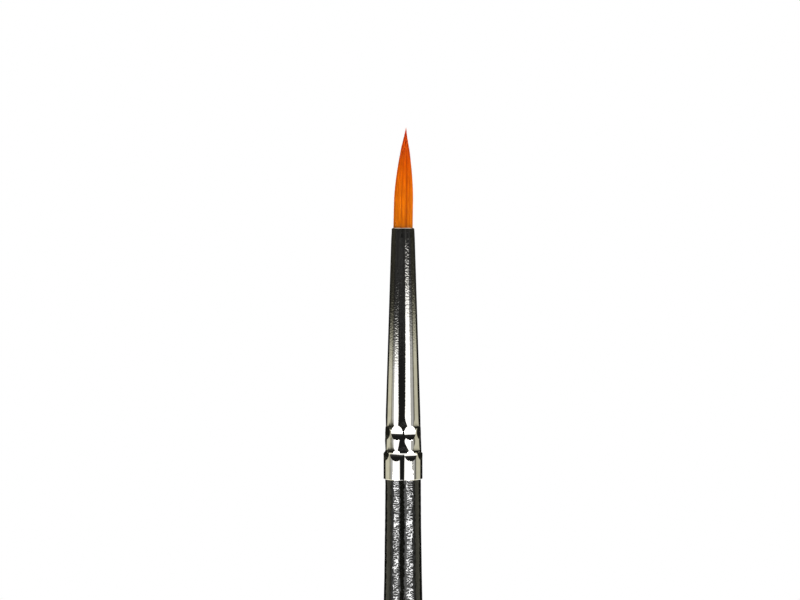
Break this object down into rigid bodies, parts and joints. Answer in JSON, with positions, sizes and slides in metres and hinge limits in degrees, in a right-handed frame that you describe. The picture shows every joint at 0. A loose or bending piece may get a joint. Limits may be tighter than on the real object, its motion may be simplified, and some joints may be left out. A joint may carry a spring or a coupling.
{
  "type": "fine detail paint brush",
  "caption": "Round pointed detail brush: orange synthetic filaments in a double-crimped nickel ferrule on a black lacquered wooden handle.",
  "frame": {"origin": "centre of the grip, the thickest cylindrical land of the handle", "axes": "+Z along the brush's axis, towards the tip of the tuft; +Y is the axis the tuft bends about"},
  "size_m": [0.0052, 0.0052, 0.175],
  "materials": {
    "bare_wood": "bare turned",
    "black_lacquer": "gloss dipped lacquer with a slight orange peel",
    "nickel_plate": "bright nickel plate",
    "glue": "set glue",
    "filament": "fine drawn filaments",
    "bound_filament": "bound filaments",
    "thread": "waxed thread",
    "resin": "cast epoxy"
  },
  "bodies": {
    "handle": {"handle_core": "bare_wood", "handle_lacquer": "black_lacquer", "ferrule": "nickel_plate", "tenon_glue": "glue", "tuft_roots": "bound_filament", "tie_thread": "thread", "root_resin": "resin"},
    "tuft": {"tuft": "filament"}
  },
  "joints": [
    {"name": "tuft_flex", "type": "hinge", "parent": "handle", "child": "tuft", "pos_m": [0, 0, 0.07328], "axis": [0, 1, 0], "range_deg": [-45, 45], "stiffness_Nm_per_rad": 0.0002}
  ]
}
